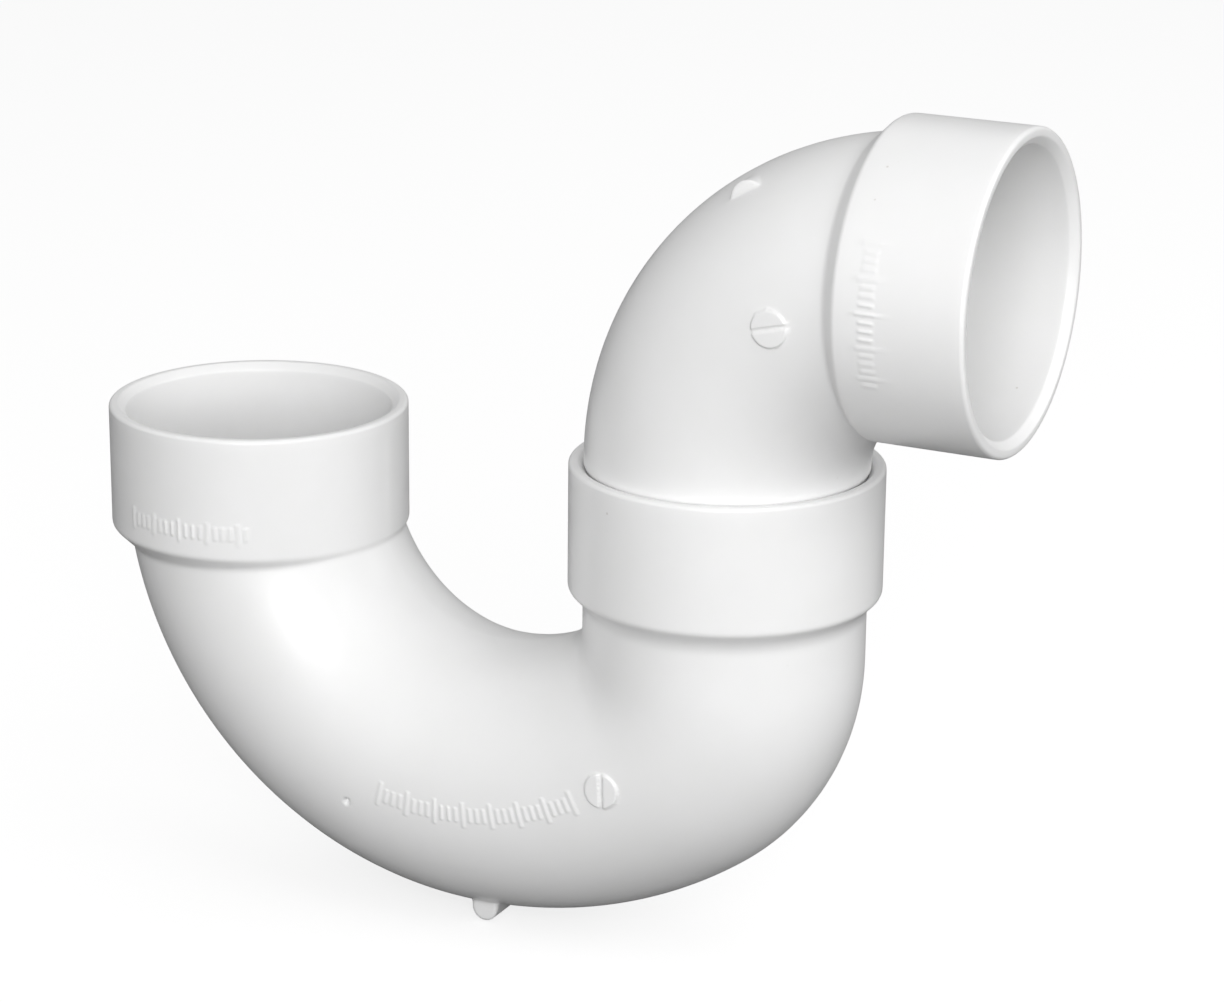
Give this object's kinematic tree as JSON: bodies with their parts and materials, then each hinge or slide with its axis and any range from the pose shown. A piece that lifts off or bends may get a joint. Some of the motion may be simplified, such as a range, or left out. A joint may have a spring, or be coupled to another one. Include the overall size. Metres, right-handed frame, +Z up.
{
  "type": "p trap",
  "caption": "Solvent-weld drain trap: a U-shaped return bend with pipe sockets and a street elbow that turns in it to aim the outlet.",
  "frame": {"origin": "centre of the inlet socket's stop shoulder, where the inlet pipe's end seats", "axes": "+Z up, out of the inlet socket; +X from the inlet leg towards the outlet leg, out of the outlet socket"},
  "size_m": [0.3193, 0.1, 0.2811],
  "materials": {
    "bend_pvc": "white satin moulded PVC",
    "elbow_pvc": "white satin moulded PVC"
  },
  "bodies": {
    "return_bend": {"return_bend": "bend_pvc"},
    "trap_elbow": {"trap_elbow": "elbow_pvc"}
  },
  "joints": [
    {"name": "elbow_swivel", "type": "hinge", "parent": "return_bend", "child": "trap_elbow", "pos_m": [0.173, 0, 0.0417], "axis": [0, 0, 1], "continuous": true}
  ]
}
